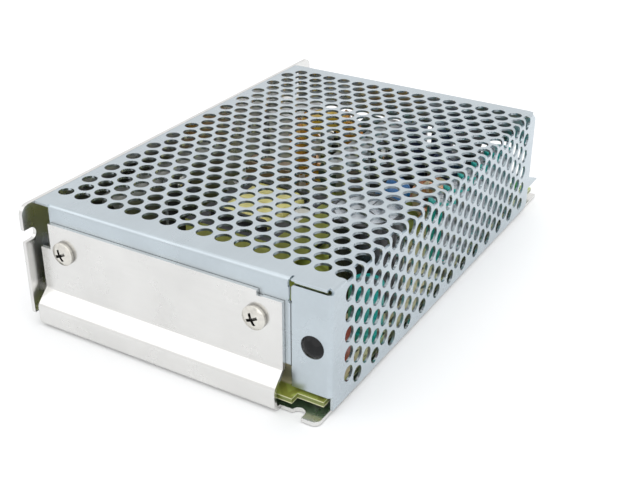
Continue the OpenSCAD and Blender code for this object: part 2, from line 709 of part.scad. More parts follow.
// Bobbin: tube round the middle leg, end flanges and pin rails down to the board
module transformer_bobbin() color([0.1, 0.1, 0.1]) at_coil() difference() {
  union() {
    rotate([90, 0, 0]) linear_extrude(coil_l, center = true) square(bobbin_tube, center = true);
    for (y = [-1, 1] * (coil_l - bobbin_flange) / 2) translate([0, y, 0]) rotate([90, 0, 0])
      linear_extrude(bobbin_flange, center = true) rounded_rect(coil_w, winding_h + 1, 1);
    for (y = [-1, 1]) {
      rail_y = [y * (coil_l / 2 - bobbin_flange), y * core_l / 2];
      block([-core_w / 2 + 2, min(rail_y), board_z1 - coil_z],
        [core_w / 2 - 2, max(rail_y), -core_h / 2 - 1]);
    }
  }
  rotate([90, 0, 0]) linear_extrude(core_l + 2, center = true)
    square([core_mid + 0.1, core_h + 0.1], center = true);
}
// Taped winding on the bobbin
module transformer_winding() color("khaki") at_coil() rotate([90, 0, 0])
  linear_extrude(coil_l - 2 * bobbin_flange, center = true) difference() {
    rounded_rect(coil_w - 0.6, winding_h, 3);
    square(bobbin_tube, center = true);
  }
module at_coil() translate([transformer_at.x, transformer_at.y, coil_z]) children();

// Ring of square section round Z
module ring_core(d, hole, h) rotate_extrude() translate([hole / 2, -h / 2]) square([(d - hole) / 2, h]);
// One turn of wire round that section
module ring_turn(d, hole, h, wire) rotate([90, 0, 0]) linear_extrude(wire, center = true)
  translate([(d + hole) / 4, 0]) difference() {
    rounded_rect((d - hole) / 2 + 2 * (wire + wire_gap), h + 2 * wire, wire);
    square([(d - hole) / 2 + 2 * wire_gap, h], center = true);
  }
// Leads from the lowest turns of a ring on edge, down by its drop
module ring_leads(d, wire, angle, drop, spread) {
  r = (d + wire) / 2 + wire_gap;
  for (x = [-1, 1], z = [-1, 1]) translate([x * r * cos(angle), -drop, z * spread])
    rotate([-90, 0, 0]) cylinder(d = wire, h = drop - r * sin(angle));
}

// Line-filter choke: coated ring standing on edge, turned on the board
module choke_frame()
  translate([choke_at.x, choke_at.y, choke_z]) rotate(choke_turned) rotate([90, 0, 0]) children();
module line_choke_core() color("gold") choke_frame() ring_core(choke_d, choke_hole, choke_h);
// Stand with a saddle that carries the ring
module line_choke_stand() color("ivory") difference() {
  translate([choke_at.x, choke_at.y, board_z1]) rotate(choke_turned) {
    linear_extrude(choke_foot) rounded_rect(choke_d, choke_h + 4, 1);
    translate([-choke_saddle / 2, -choke_h / 2, 0])
      cube([choke_saddle, choke_h, choke_foot + choke_wire + wire_gap + 1]);
  }
  choke_frame() cylinder(d = choke_d + wire_gap, h = choke_h + 2, center = true);
}
// Its two windings, one on each side of the ring
module line_choke_windings() color("chocolate") choke_frame() {
  last = (choke_turns - 1) / 2;
  for (side = [0, 180], k = [-last:last]) rotate(side + k * choke_step)
    ring_turn(choke_d, choke_hole, choke_h, choke_wire);
  ring_leads(choke_d, choke_wire, last * choke_step, choke_z - board_z1 - choke_foot, choke_h / 3);
}
// Half-section of a layer of turns between two radii
module winding_profile(r0, r1, h, turns) {
  pitch = h / turns;
  translate([r0, 0]) square([r1 - pitch / 2 - r0, h]);
  for (k = [0:turns - 1]) translate([r1 - pitch / 2, (k + 0.5) * pitch]) circle(d = pitch);
}

// Sleeved can capacitor: rolled edge, crimp groove and a bare top with a scored vent
module can_capacitor(d, h) {
  difference() {
    rotate_extrude() difference() {
      union() {
        square([d / 2 - 0.6, h]);
        square([d / 2, h - 0.6]);
        translate([d / 2 - 0.6, h - 0.6]) circle(r = 0.6);
      }
      translate([d / 2 + 0.9, 3.2]) circle(r = 1.3);
      translate([-1, h - 0.35]) square([d / 2 - 0.4, 1]);
    }
    for (a = [0, 120, 240]) rotate(a) translate([-0.25, 0, h - 0.6]) cube([0.5, d * 0.36, 1]);
  }
}
module can_at(at, d, h) translate([at.x, at.y, board_z1]) can_capacitor(d, h);
module bulk_capacitor() color("teal") can_at(bulk_at, bulk_d, bulk_h);
module output_capacitors() color("teal") for (at = output_at) can_at(at, output_d, output_h);
module near_capacitor() color("teal") can_at(near_cap_at, near_cap_d, near_cap_h);
module small_capacitors() color([0.15, 0.15, 0.2]) for (can = small_caps) can_at(can[0], can[1], can[2]);

// Moulded box part standing on the board
module box_part(at, size, r)
  translate([at.x, at.y, board_z1]) linear_extrude(size.z) rounded_rect(size.x, size.y, r);
module box_capacitor() color("gainsboro") box_part(box_cap_at, [box_cap_w, box_cap_l, box_cap_h], 0.8);
module film_capacitor() color("sienna") box_part(film_cap_at, [film_cap_w, film_cap_l, film_cap_h], 0.8);
module snubber_capacitor() color("firebrick") box_part(snubber_at, [snubber_w, snubber_l, snubber_h], 1.2);

// Disc part standing on two leads
module disc_part(at, d, t, lift) translate([at.x, at.y, board_z1]) {
  translate([0, 0, lift + d / 2]) rotate([90, 0, 0]) rotate_extrude() {
    translate([0, -t / 2]) square([d / 2 - t / 2, t]);
    intersection() {
      translate([d / 2 - t / 2, 0]) circle(d = t);
      translate([0, -t]) square([d, 2 * t]);
    }
  }
  for (x = [-1, 1] * d / 4) translate([x, 0, 0]) cylinder(d = 0.8, h = lift + d / 4);
}
module disc_capacitors() color("royalblue") for (at = disc_at) disc_part(at, disc_d, disc_t, disc_lift);
module thermistor() color([0.2, 0.25, 0.2])
  disc_part(thermistor_at, thermistor_d, thermistor_t, thermistor_lift);
module varistor() color([0.12, 0.14, 0.2]) disc_part(varistor_at, varistor_d, varistor_t, varistor_lift);

// Cartridge fuse: glass tube with end caps, lying along Y
module fuse() color("whitesmoke") translate([fuse_at.x, fuse_at.y, board_z1 + fuse_lift + fuse_d / 2])
  rotate([90, 0, 0]) {
    cylinder(d = fuse_d - 0.6, h = fuse_l - 2 * fuse_cap, center = true);
    for (end = [-1, 1]) translate([0, 0, end * (fuse_l - fuse_cap) / 2])
      cylinder(d = fuse_d, h = fuse_cap + eps, center = true);
  }
// Spring clips that hold it
module fuse_clips() color("silver") for (end = [-1, 1])
  translate([fuse_at.x, fuse_at.y + end * (fuse_l - fuse_cap) / 2, board_z1]) rotate([90, 0, 0])
    linear_extrude(4, center = true) difference() {
      union() {
        translate([0, fuse_lift + fuse_d / 2]) circle(d = fuse_d + 1);
        translate([-fuse_d / 2 - 0.5, 0]) square([fuse_d + 1, fuse_lift + fuse_d / 2]);
      }
      translate([0, fuse_lift + fuse_d / 2]) circle(d = fuse_d + 2 * shank_gap);
      translate([-fuse_d, fuse_lift + fuse_d * 0.82]) square([2 * fuse_d, fuse_d]);
      translate([-fuse_d / 2 + 0.1, 0.5]) square([fuse_d - 0.2, fuse_lift - 0.9]);
    }
// Flat bridge rectifier on four leads, one corner cut
module bridge_rectifier() color([0.14, 0.14, 0.14]) translate([bridge_at.x, bridge_at.y, board_z1]) {
  translate([0, 0, bridge_lift]) rotate([90, 0, 0]) linear_extrude(bridge_t, center = true)
    polygon([[-bridge_w / 2, 0], [bridge_w / 2, 0], [bridge_w / 2, bridge_h - 3],
      [bridge_w / 2 - 3, bridge_h], [-bridge_w / 2, bridge_h]]);
  for (i = [-1.5:1:1.5]) translate([i * bridge_w / 4, 0, bridge_lift / 2 + eps])
    cube([1.2, 0.8, bridge_lift], center = true);
}

// Heatsinks: plates on the board with the top edge turned towards -X
module sink(at, l) along_y(at.y - l / 2, at.y + l / 2)
  translate([at.x + sink_t / 2, board_z1 + sink_h]) rotate(180) right_fold(sink_turn, sink_h, sink_t, 0.8);
module sink_bores(at, places) for (y = places)
  translate([at.x - sink_t, at.y + y, board_z1 + device_hole_z]) rotate([0, 90, 0])
    cylinder(d = device_screw_d + 2 * shank_gap, h = 3 * sink_t);
module primary_heatsink() color("silver") difference() {
  sink(primary_at, primary_l);
  sink_bores(primary_at, [0]);
}
module secondary_heatsink() color("silver") difference() {
  sink(secondary_at, secondary_l);
  sink_bores(secondary_at, secondary_devices);
}
// Power device flat against a sink, on three leads, its front towards +X
module power_device() {
  difference() {
    union() {
      block([0, -device_w / 2, device_lift], [device_tab_t, device_w / 2, device_lift + device_h]);
      block([0, -device_w / 2, device_lift], [device_t, device_w / 2, device_lift + device_body_h]);
    }
    translate([-1, 0, device_hole_z]) rotate([0, 90, 0])
      cylinder(d = device_screw_d + 0.4, h = device_tab_t + 2);
  }
  for (y = [-2.54, 0, 2.54]) block([2, y - 0.45, 0], [2.6, y + 0.45, device_lift + 1]);
}
function device_face(at) = at.x + sink_t / 2 + pad_t;
module devices_on(at, places) for (y = places)
  translate([device_face(at), at.y + y, board_z1]) power_device();
module switch_transistor() color([0.15, 0.15, 0.16]) devices_on(primary_at, [0]);
module output_diodes() color([0.15, 0.15, 0.16]) devices_on(secondary_at, secondary_devices);
// Insulating pads between the devices and their sinks
module pads_on(at, places) for (y = places) difference() {
  translate([at.x + sink_t / 2, at.y + y - device_w / 2 - 1, board_z1 + device_lift - 1])
    cube([pad_t, device_w + 2, device_h + 2]);
  sink_bores(at, [y]);
}
module insulating_pads() color("lightgray") {
  pads_on(primary_at, [0]);
  pads_on(secondary_at, secondary_devices);
}
// Screws that hold the devices
module device_screws(at, places) for (y = places)
  translate([device_face(at) + device_tab_t, at.y + y, board_z1 + device_hole_z]) rotate([0, 90, 0])
    pan_screw(device_screw_d, sink_t + pad_t + device_tab_t + 1.5, device_head_d, device_head_h);
module heatsink_screws() color("silver") {
  device_screws(primary_at, [0]);
  device_screws(secondary_at, secondary_devices);
}

// Ring choke standing on its edge
module ring_frame() translate([ring_at.x, ring_at.y, ring_z]) rotate([90, 0, 0]) children();
module ring_choke_core() color("goldenrod") ring_frame() ring_core(ring_d, ring_hole, ring_h);
// Its winding, open at the foot
module ring_choke_winding() color("chocolate") ring_frame() {
  for (k = [1:ring_turns]) rotate(k * ring_step - 90) ring_turn(ring_d, ring_hole, ring_h, wire_d);
  ring_leads(ring_d, wire_d, 90 - ring_step, ring_z - board_z1, ring_h / 3);
}
// Small drum choke, wound between its flanges
module drum_choke() color([0.25, 0.2, 0.15]) translate([drum_at.x, drum_at.y, board_z1]) rotate_extrude() {
  square([drum_d / 2, drum_rim]);
  square([drum_d / 4, drum_h]);
  translate([0, drum_h - drum_rim]) square([drum_d / 2, drum_rim]);
  translate([0, drum_rim - eps])
    winding_profile(drum_d / 4 - eps, drum_d / 2 - 0.6, drum_h - 2 * drum_rim + 2 * eps, drum_turns);
}

// Leaded package: body over two rows of legs
module dual_row(at, l, legs) translate([at.x, at.y, board_z1]) {
  difference() {
    translate([-3.2, -l / 2, 0.6]) cube([6.4, l, 3.2]);
    translate([0, -l / 2, 3.2]) cylinder(d = 1.6, h = 2);
  }
  for (side = [-1, 1], k = [0:legs - 1]) translate([side * 3.6, (k - (legs - 1) / 2) * 2.54, 0]) {
    translate([-0.15, -0.6, 0]) cube([0.3, 1.2, 2.2]);
    translate([side < 0 ? -0.15 : -0.45, -0.6, 1.9]) cube([0.6, 1.2, 0.3]);
  }
}
module controller() color([0.13, 0.13, 0.13]) dual_row(controller_at, controller_l, 4);
module optocoupler() color("whitesmoke") dual_row(opto_at, opto_l, 2);
// Axial part with bent leads, lying along X or Y
module axial_part(at, d, l, turn_by) translate([at.x, at.y, board_z1]) rotate(turn_by) {
  translate([0, 0, d / 2 + 0.4]) rotate([0, 90, 0]) {
    cylinder(d = d, h = l * 0.5, center = true);
    for (end = [-1, 1]) translate([0, 0, end * l * 0.36])
      cylinder(d = d * 1.15, h = l * 0.28 + eps, center = true);
    cylinder(d = 0.8, h = l + 4, center = true);
  }
  for (end = [-1, 1]) translate([end * (l / 2 + 2), 0, 0]) cylinder(d = 0.8, h = d / 2 + 0.8);
}
module resistors() color("lightskyblue") for (at = resistor_at) axial_part(at, resistor_d, resistor_l, 90);
module rectifier_diodes() color([0.12, 0.12, 0.12])
  for (at = diode_at) axial_part(at, rectifier_d, rectifier_l, 90);

// Output trimmer: square body with a round well
module trimmer_body() color("royalblue") translate([trimmer_at.x, trimmer_at.y, board_z1]) difference() {
  linear_extrude(trimmer_h) rounded_rect(trimmer_w, trimmer_w, 0.5);
  translate([0, 0, rotor_z]) cylinder(d = rotor_d + 2 * shank_gap, h = rotor_h);
}
// Rotor with a screwdriver slot and a pointer notch
module trimmer_rotor() color("white")
  translate([trimmer_at.x, trimmer_at.y, board_z1 + rotor_z]) difference() {
    cylinder(d = rotor_d, h = rotor_h);
    translate([-rotor_d, -0.4, rotor_h - 1]) cube([2 * rotor_d, 0.8, 2]);
    translate([-0.4, 0, rotor_h - 1]) cube([0.8, rotor_d, 2]);
  }
// Round indicator lamp with a rim
module indicator_lamp() color("limegreen") translate([lamp_at.x, lamp_at.y, board_z1]) rotate_extrude() {
  square([lamp_d / 2 + 0.4, 1]);
  square([lamp_d / 2, lamp_h]);
  intersection() {
    translate([0, lamp_h]) circle(d = lamp_d);
    square([lamp_d, lamp_h + lamp_d]);
  }
}

chassis();
cover();
cover_screws();
snap_rivet();
pcb();
insulation_sheet();
pcb_standoffs();
pcb_screws();
earth_bracket();
terminal_block();
terminal_contacts();
for (i = [0:terminal_n - 1]) {
  terminal_screw(i);
  terminal_clamp(i);
}
transformer_core();
transformer_bobbin();
transformer_winding();
line_choke_core();
line_choke_stand();
line_choke_windings();
bulk_capacitor();
output_capacitors();
near_capacitor();
box_capacitor();
disc_capacitors();
film_capacitor();
snubber_capacitor();
small_capacitors();
fuse();
fuse_clips();
thermistor();
varistor();
bridge_rectifier();
primary_heatsink();
switch_transistor();
secondary_heatsink();
output_diodes();
insulating_pads();
heatsink_screws();
ring_choke_core();
ring_choke_winding();
drum_choke();
controller();
optocoupler();
resistors();
rectifier_diodes();
trimmer_body();
trimmer_rotor();
indicator_lamp();
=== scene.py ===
import bpy
from mathutils import Matrix, Vector


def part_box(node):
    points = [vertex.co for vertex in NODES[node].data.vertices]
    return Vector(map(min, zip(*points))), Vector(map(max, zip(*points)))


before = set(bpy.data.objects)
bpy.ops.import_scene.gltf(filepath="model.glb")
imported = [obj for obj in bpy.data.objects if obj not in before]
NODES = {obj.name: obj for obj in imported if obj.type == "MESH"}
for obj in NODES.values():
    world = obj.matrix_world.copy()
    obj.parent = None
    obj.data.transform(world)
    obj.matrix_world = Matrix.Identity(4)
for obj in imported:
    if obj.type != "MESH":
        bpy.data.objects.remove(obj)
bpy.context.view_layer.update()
scene = bpy.context.scene
MM = 0.001


# Camera at the photograph's place
CAMERA_AT = Vector((0.153146, -0.258375, 0.164710))
CAMERA_AIM = Vector((-0.44499, 0.76246, -0.46973)).normalized()
CAMERA_UP = Vector((-0.24307, 0.40200, 0.88279)).normalized()
CAMERA_LENS = 57.83
SENSOR_WIDTH = 36.0


def add_camera():
    data = bpy.data.cameras.new("camera")
    data.sensor_fit = "HORIZONTAL"
    data.sensor_width = SENSOR_WIDTH
    data.lens = CAMERA_LENS
    data.clip_start = 0.01
    data.clip_end = 20.0
    camera = bpy.data.objects.new("camera", data)
    right = CAMERA_AIM.cross(CAMERA_UP).normalized()
    up = right.cross(CAMERA_AIM)
    turn = Matrix((right, up, -CAMERA_AIM)).transposed()
    camera.matrix_world = Matrix.Translation(CAMERA_AT) @ turn.to_4x4()
    scene.collection.objects.link(camera)
    scene.camera = camera


# Material building
SMALL_EDGE = 0.2 * MM
NOISE_ROUGHNESS = 0.55


def dim(color, share):
    """The same colour at a share of its level."""
    return tuple(c * share for c in color)


class Graph:
    """A node material with a Principled shader and a few shorthands."""

    def __init__(self, name, color=(0.8, 0.8, 0.8), rough=0.5, metal=0.0, **sockets):
        self.material = bpy.data.materials.new(name)
        self.material.use_nodes = True
        self.tree = self.material.node_tree
        self.shader = self.tree.nodes["Principled BSDF"]
        self.set("Base Color", color)
        self.set("Roughness", rough)
        self.set("Metallic", metal)
        for key, value in sockets.items():
            self.set(key.replace("_", " ").title().replace("Ior", "IOR"), value)
        self.place = self.add("ShaderNodeTexCoord").outputs["Object"]
        self.normal = None

    def set(self, key, value):
        socket = self.shader.inputs[key]
        if isinstance(value, bpy.types.NodeSocket):
            self.tree.links.new(value, socket)
        elif isinstance(value, tuple):
            socket.default_value = (*value, 1.0)
        else:
            socket.default_value = value

    def add(self, kind, inputs=None, **settings):
        node = self.tree.nodes.new(kind)
        for key, value in settings.items():
            setattr(node, key, value)
        for key, value in (inputs or {}).items():
            if isinstance(value, bpy.types.NodeSocket):
                self.tree.links.new(value, node.inputs[key])
            else:
                node.inputs[key].default_value = value
        return node

    def math(self, operation, a, b=0.0):
        return self.add("ShaderNodeMath", {0: a, 1: b}, operation=operation).outputs[0]

    def stretch(self, x, y, z):
        return self.add("ShaderNodeMapping", {"Vector": self.place, "Scale": (x, y, z)}).outputs[0]

    def noise(self, scale, detail=3.0, vector=None):
        inputs = {"Vector": vector or self.place, "Scale": scale, "Detail": detail}
        inputs["Roughness"] = NOISE_ROUGHNESS
        return self.add("ShaderNodeTexNoise", inputs).outputs[0]

    def ramp(self, value, low, high, to_low=0.0, to_high=1.0):
        inputs = {0: value, 1: low, 2: high, 3: to_low, 4: to_high}
        return self.add("ShaderNodeMapRange", inputs, clamp=True).outputs[0]

    def mix(self, share, a, b):
        inputs = {0: share}
        for slot, shade in ((6, a), (7, b)):
            inputs[slot] = (*shade, 1.0) if isinstance(shade, tuple) else shade
        return self.add("ShaderNodeMix", inputs, data_type="RGBA").outputs[2]

    def axis(self, which, vector=None):
        split = self.add("ShaderNodeSeparateXYZ", {0: vector or self.place})
        return split.outputs["XYZ".index(which)]

    def facing(self, which):
        return self.axis(which, self.add("ShaderNodeNewGeometry").outputs["Normal"])

    def soft_edges(self, radius):
        self.normal = self.add("ShaderNodeBevel", {"Radius": radius}, samples=4).outputs[0]
        self.set("Normal", self.normal)

    def bump(self, height, strength, distance):
        inputs = {"Height": height, "Strength": strength, "Distance": distance}
        if self.normal is not None:
            inputs["Normal"] = self.normal
        self.normal = self.add("ShaderNodeBump", inputs).outputs[0]
        self.set("Normal", self.normal)

    def hollows(self, reach):
        """Share of open sky above a point: low in recesses and along inner corners. The materials darken
        their colour with it, which is painted shade.
        """
        return self.add("ShaderNodeAmbientOcclusion", {"Distance": reach}, samples=8).outputs["AO"]

    def mottle(self, color, spread, scale, detail=4.0, vector=None):
        share = self.ramp(self.noise(scale, detail, vector), 0.3, 0.7)
        high = tuple(min(1.0, c * (1 + spread)) for c in color)
        return self.mix(share, dim(color, 1 - spread), high)


# Metals
# Reach of the painted shade in the sheets' crevices
CREVICE = 1.5 * MM
FOLD_EDGE = 0.2 * MM
SINK_EDGE = 0.3 * MM
COVER_GRAIN = (900.0, 25.0, 900.0)
CHASSIS_GRAIN = (40.0, 900.0, 900.0)
SINK_GRAIN = (700.0, 30.0, 700.0)


def sheet_metal(name, color, rough, grain, edge, inner_rough=None):
    """Rolled sheet: faint grain, cloudy gloss, soft cut edges, painted shade in crevices, its own gloss
    inside.
    """
    g = Graph(name, color, rough[0], 1.0)
    g.soft_edges(edge)
    clouds = g.mottle(color, 0.05, 55.0)
    lines = g.noise(1.0, 2.0, g.stretch(*grain))
    brushed = g.mix(g.ramp(lines, 0.35, 0.65, 0.0, 0.12), clouds, dim(color, 0.86))
    # Painted shade: the colour falls to half its level in crevices and inner corners
    sky_share_for_painted_shade = g.ramp(g.hollows(CREVICE), 0.15, 0.55)
    g.set("Base Color", g.mix(sky_share_for_painted_shade, dim(color, 0.5), brushed))
    gloss = g.ramp(g.noise(90.0, 4.0), 0.3, 0.7, *rough)
    if inner_rough is not None:
        inside = g.math("MAXIMUM", g.ramp(g.facing("X"), 0.90, 0.95), g.ramp(g.facing("Z"), 0.90, 0.95))
        gloss = g.math("SUBTRACT", gloss, g.math("MULTIPLY", inside, rough[0] - inner_rough))
    g.set("Roughness", gloss)
    g.bump(lines, 0.10, 0.04 * MM)
    return g.material


def bright_metal(name, color, rough, reach=1.2 * MM):
    """Plated fasteners and clips, with fine scuffs and painted shade in recesses."""
    g = Graph(name, color, rough, 1.0)
    g.soft_edges(SMALL_EDGE)
    # Painted shade: the colour falls nearly to black in recesses such as the screws' cross slots
    sky_share_for_painted_shade = g.ramp(g.hollows(reach), 0.35, 0.85)
    g.set("Base Color", g.mix(sky_share_for_painted_shade, dim(color, 0.12), g.mottle(color, 0.10, 700.0)))
    g.set("Roughness", g.ramp(g.noise(900.0), 0.3, 0.7, rough * 0.7, rough * 1.4))
    g.bump(g.noise(1500.0), 0.08, 0.04 * MM)
    return g.material


def enamelled(name, color, metal=0.55):
    """Lacquered copper wire, with painted shade where the turns lie close."""
    g = Graph(name, color, 0.26, metal, coat_weight=0.5, coat_roughness=0.1)
    # Painted shade: the colour darkens where the turns lie close together
    sky_share_for_painted_shade = g.ramp(g.hollows(1.5 * MM), 0.2, 0.8)
    g.set("Base Color", g.mix(sky_share_for_painted_shade, dim(color, 0.35), g.mottle(color, 0.15, 260.0)))
    g.bump(g.noise(900.0, 2.0), 0.15, 0.05 * MM)
    return g.material


# Plastics and dipped coats
def moulded(name, color, rough, spread=0.10, scale=420.0, coat=0.0, shine=0.5):
    """Moulded or dipped plastic with a slight orange-peel surface."""
    g = Graph(name, color, rough, coat_weight=coat, coat_roughness=0.12, specular_ior_level=shine)
    g.soft_edges(SMALL_EDGE)
    g.set("Base Color", g.mottle(color, spread, scale))
    g.set("Roughness", g.ramp(g.noise(scale * 1.7), 0.3, 0.7, rough * 0.85, min(1.0, rough * 1.2)))
    g.bump(g.noise(scale * 3.0, 2.0), 0.25, 0.03 * MM)
    return g.material


# Transformer tape
TAPE = (0.92, 0.82, 0.27)
TAPE_LAPS = 160.0
# Tape on the core's sides: a darker olive copy of the winding tape, which is painted shade
CORE_TAPE_PAINTED_SHADE = (0.66, 0.66, 0.20)
FERRITE = (0.045, 0.045, 0.05)
PATCH = (0.80, 0.78, 0.70)
PATCH_X = 1 * MM
PATCH_Y = (-21 * MM, -9 * MM)


def taped(name):
    """Layers of thin polyester tape, with laps and wrinkles."""
    g = Graph(name, TAPE, 0.3, coat_weight=0.6, coat_roughness=0.15)
    g.soft_edges(0.5 * MM)
    laps = g.ramp(g.math("FRACT", g.math("MULTIPLY", g.axis("Y"), TAPE_LAPS)), 0.0, 0.12)
    g.set("Base Color", g.mix(laps, dim(TAPE, 0.72), g.mottle(TAPE, 0.12, 180.0)))
    g.bump(g.math("ADD", laps, g.noise(320.0, 4.0)), 0.35, 0.3 * MM)
    return g.material


def taped_core(name):
    """Ground ferrite with tape wound round its outer faces, that tape a darker olive than the winding's as
    painted shade, and a pale plain patch on top.
    """
    g = Graph(name, FERRITE, 0.5)
    g.soft_edges(0.3 * MM)
    upright = g.ramp(g.math("ABSOLUTE", g.facing("Z")), 0.6, 0.4)
    low = g.math("GREATER_THAN", g.axis("Y"), PATCH_Y[0])
    high = g.math("LESS_THAN", g.axis("Y"), PATCH_Y[1])
    right = g.math("GREATER_THAN", g.axis("X"), PATCH_X)
    pale = g.math("MULTIPLY", g.math("MULTIPLY", low, high), right)
    top = g.mix(pale, g.mottle(FERRITE, 0.2, 1200.0), g.mottle(PATCH, 0.05, 300.0))
    g.set("Base Color", g.mix(upright, top, g.mottle(CORE_TAPE_PAINTED_SHADE, 0.12, 180.0)))
    g.bump(g.noise(700.0, 3.0), 0.3, 0.1 * MM)
    return g.material


# Capacitor cans
TEAL = (0.015, 0.42, 0.37)
CAN_TOP = (0.64, 0.66, 0.69)
CAN_TOP_SUNK = 0.45 * MM
CAN_TOP_REACH = 0.3 * MM
STRIPE = (0.44, 0.46, 0.50)
STRIPE_WAY = (0.94, -0.34)
STRIPE_FROM = (0.72, 0.74)
SMALL_HEIGHTS = (12.0, 19.5, 24.0, 26.0)


def top_of(node):
    """Height of a node's highest point."""
    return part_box(node)[1].z


def sleeved(name, color, tops, striped=False):
    """Capacitor can: shrunk sleeve, striped or plain, and bare aluminium in its sunk top."""
    g = Graph(name, color, 0.3, coat_weight=0.3, coat_roughness=0.1)

    def level_with(top):
        compare = g.math("COMPARE", g.axis("Z"), top - CAN_TOP_SUNK)
        compare.node.inputs[2].default_value = CAN_TOP_REACH
        return compare

    near_top = level_with(tops[0])
    for top in tops[1:]:
        near_top = g.math("MAXIMUM", near_top, level_with(top))
    bare = g.math("MULTIPLY", g.ramp(g.facing("Z"), 0.8, 0.9), near_top)
    sleeve = g.mottle(color, 0.14, 240.0)
    if striped:
        along_x = g.math("MULTIPLY", g.facing("X"), STRIPE_WAY[0])
        along_y = g.math("MULTIPLY", g.facing("Y"), STRIPE_WAY[1])
        stripe = g.ramp(g.math("ADD", along_x, along_y), *STRIPE_FROM)
        sleeve = g.mix(stripe, sleeve, g.mottle(STRIPE, 0.06, 240.0))
    g.set("Base Color", g.mix(bare, sleeve, g.mottle(CAN_TOP, 0.06, 500.0)))
    g.set("Metallic", bare)
    g.set("Roughness", g.ramp(g.noise(600.0), 0.3, 0.7, 0.24, 0.36))
    g.bump(g.noise(220.0, 3.0), 0.5, 0.3 * MM)
    return g.material


# Circuit board
LACQUER = (0.37, 0.43, 0.08)
LACQUER_MEAN = (0.3, 0.34, 0.05)
LACQUER_GAP = (0.25, 0.27, 0.045)
LACQUER_UNDER = (0.13, 0.26, 0.12)
BARE = (0.86, 0.79, 0.47)
BARE_MARK = (0.10, 0.09, 0.05)
BARE_X = (26 * MM, 46.3 * MM)
BARE_Y = -71.5 * MM
# Painted light: past FAR_Y the lacquer is a lighter copy of the olive, as it looks lit out in the open
FAR_STRIP_PAINTED_LIGHT = (0.56, 0.66, 0.20)
FAR_Y = 73 * MM
BORDER = 1 * MM
CUT_CORE = (0.16, 0.19, 0.03)
# Painted highlights: pale bands along the cut edge's top and bottom arrises
CUT_EDGE_PAINTED_HIGHLIGHT = (0.66, 0.66, 0.40)
PAINTED_HIGHLIGHT_DEPTH = (0.22 * MM, 0.34 * MM)


def laminate(name):
    """Board: olive lacquer over copper, bare and marked to the right, painted light on the strip past the
    cover's far end, green below, cut edge with painted highlights along its top and bottom.
    """
    g = Graph(name, LACQUER_MEAN, 0.32, coat_weight=0.4, coat_roughness=0.2)
    cells = g.add("ShaderNodeTexVoronoi", {"Vector": g.place, "Scale": 130.0},
                  distance="CHEBYCHEV", feature="DISTANCE_TO_EDGE").outputs["Distance"]
    copper = g.ramp(cells, 0.06, 0.10)
    olive = g.mix(copper, LACQUER_GAP, g.mottle(LACQUER, 0.12, 150.0))
    marks = g.ramp(g.noise(420.0, 1.0, g.stretch(1.0, 0.35, 1.0)), 0.57, 0.60)
    khaki = g.mix(marks, g.mottle(BARE, 0.10, 200.0), BARE_MARK)
    near = g.ramp(g.axis("Y"), BARE_Y - BORDER, BARE_Y)
    inner = g.ramp(g.axis("X"), BARE_X[0], BARE_X[0] + 4 * BORDER)
    outer = g.ramp(g.axis("X"), BARE_X[1] + BORDER, BARE_X[1])
    bare = g.math("MULTIPLY", g.math("MULTIPLY", inner, outer), near)
    painted_light_far_end = g.ramp(g.axis("Y"), FAR_Y, FAR_Y + BORDER)
    upper = g.mix(painted_light_far_end, g.mix(bare, olive, khaki), g.mottle(FAR_STRIP_PAINTED_LIGHT, 0.08, 200.0))
    under = g.mottle(LACQUER_UNDER, 0.2, 160.0)
    low, high = (corner.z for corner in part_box("pcb"))
    depth = g.math("MINIMUM", g.math("SUBTRACT", high, g.axis("Z")), g.math("SUBTRACT", g.axis("Z"), low))
    core = g.mottle(CUT_CORE, 0.15, 900.0, vector=g.stretch(1.0, 1.0, 12.0))
    # Cut edge: dark core with the painted highlight bands near its top and bottom faces
    cut = g.mix(g.ramp(depth, *PAINTED_HIGHLIGHT_DEPTH), CUT_EDGE_PAINTED_HIGHLIGHT, core)
    upward = g.facing("Z")
    cut_or_upper = g.mix(g.ramp(upward, 0.4, 0.6), cut, upper)
    g.set("Base Color", g.mix(g.ramp(upward, -0.6, -0.4), under, cut_or_upper))
    g.bump(copper, 0.3, 0.06 * MM)
    return g.material


